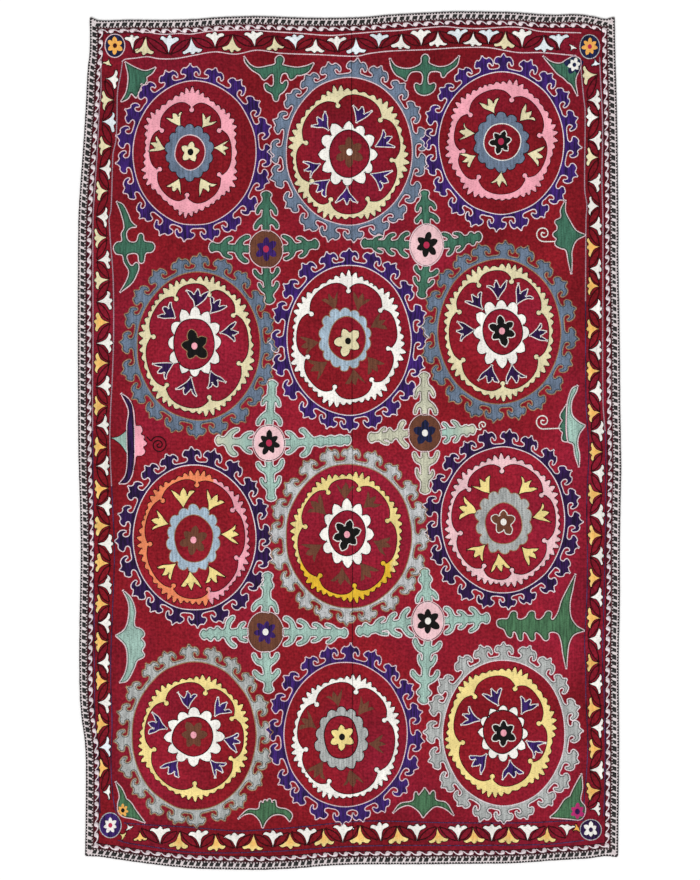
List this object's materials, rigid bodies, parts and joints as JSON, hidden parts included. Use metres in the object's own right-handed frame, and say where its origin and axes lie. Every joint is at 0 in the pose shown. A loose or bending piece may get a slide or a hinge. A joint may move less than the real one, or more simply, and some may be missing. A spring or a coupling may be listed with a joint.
{
  "type": "suzani embroidered textile",
  "caption": "Large rectangular suzani: red cotton ground in joined loom widths, silk rosettes and flowering borders, patterned woven tape sewn round the edge, lying flat.",
  "frame": {"origin": "under the middle of the textile's bounding box, on the surface that it lies on", "axes": "+Z up out of the embroidered face; +Y along the length, towards the edge that is on top when it hangs; +X across the width, to the right when the face is looked at with +Y up"},
  "size_m": [1.5, 2.3701, 0.006],
  "materials": {
    "ground_cotton": "matt plain weave, dyed crimson",
    "edging_tape": "firm woven tape in black and white with a red line",
    "silk_white": "floss silk, laid and couched, soft sheen",
    "silk_cream": "floss silk, laid and couched, soft sheen",
    "silk_yellow": "floss silk, laid and couched, soft sheen",
    "silk_orange": "floss silk, laid and couched, soft sheen",
    "silk_pink": "floss silk, laid and couched, soft sheen",
    "silk_purple": "floss silk, laid and couched, soft sheen",
    "silk_slate": "floss silk, laid and couched, soft sheen",
    "silk_grey": "floss silk, laid and couched, soft sheen",
    "silk_green": "floss silk, laid and couched, soft sheen",
    "silk_mint": "floss silk, laid and couched, soft sheen",
    "silk_brown": "floss silk, laid and couched, soft sheen",
    "silk_black": "floss silk, laid and couched, soft sheen"
  },
  "bodies": {
    "root": {"ground_left": "ground_cotton", "ground_right": "ground_cotton", "tape_top": "edging_tape", "tape_bottom": "edging_tape", "tape_left": "edging_tape", "tape_right": "edging_tape"}
  },
  "joints": []
}
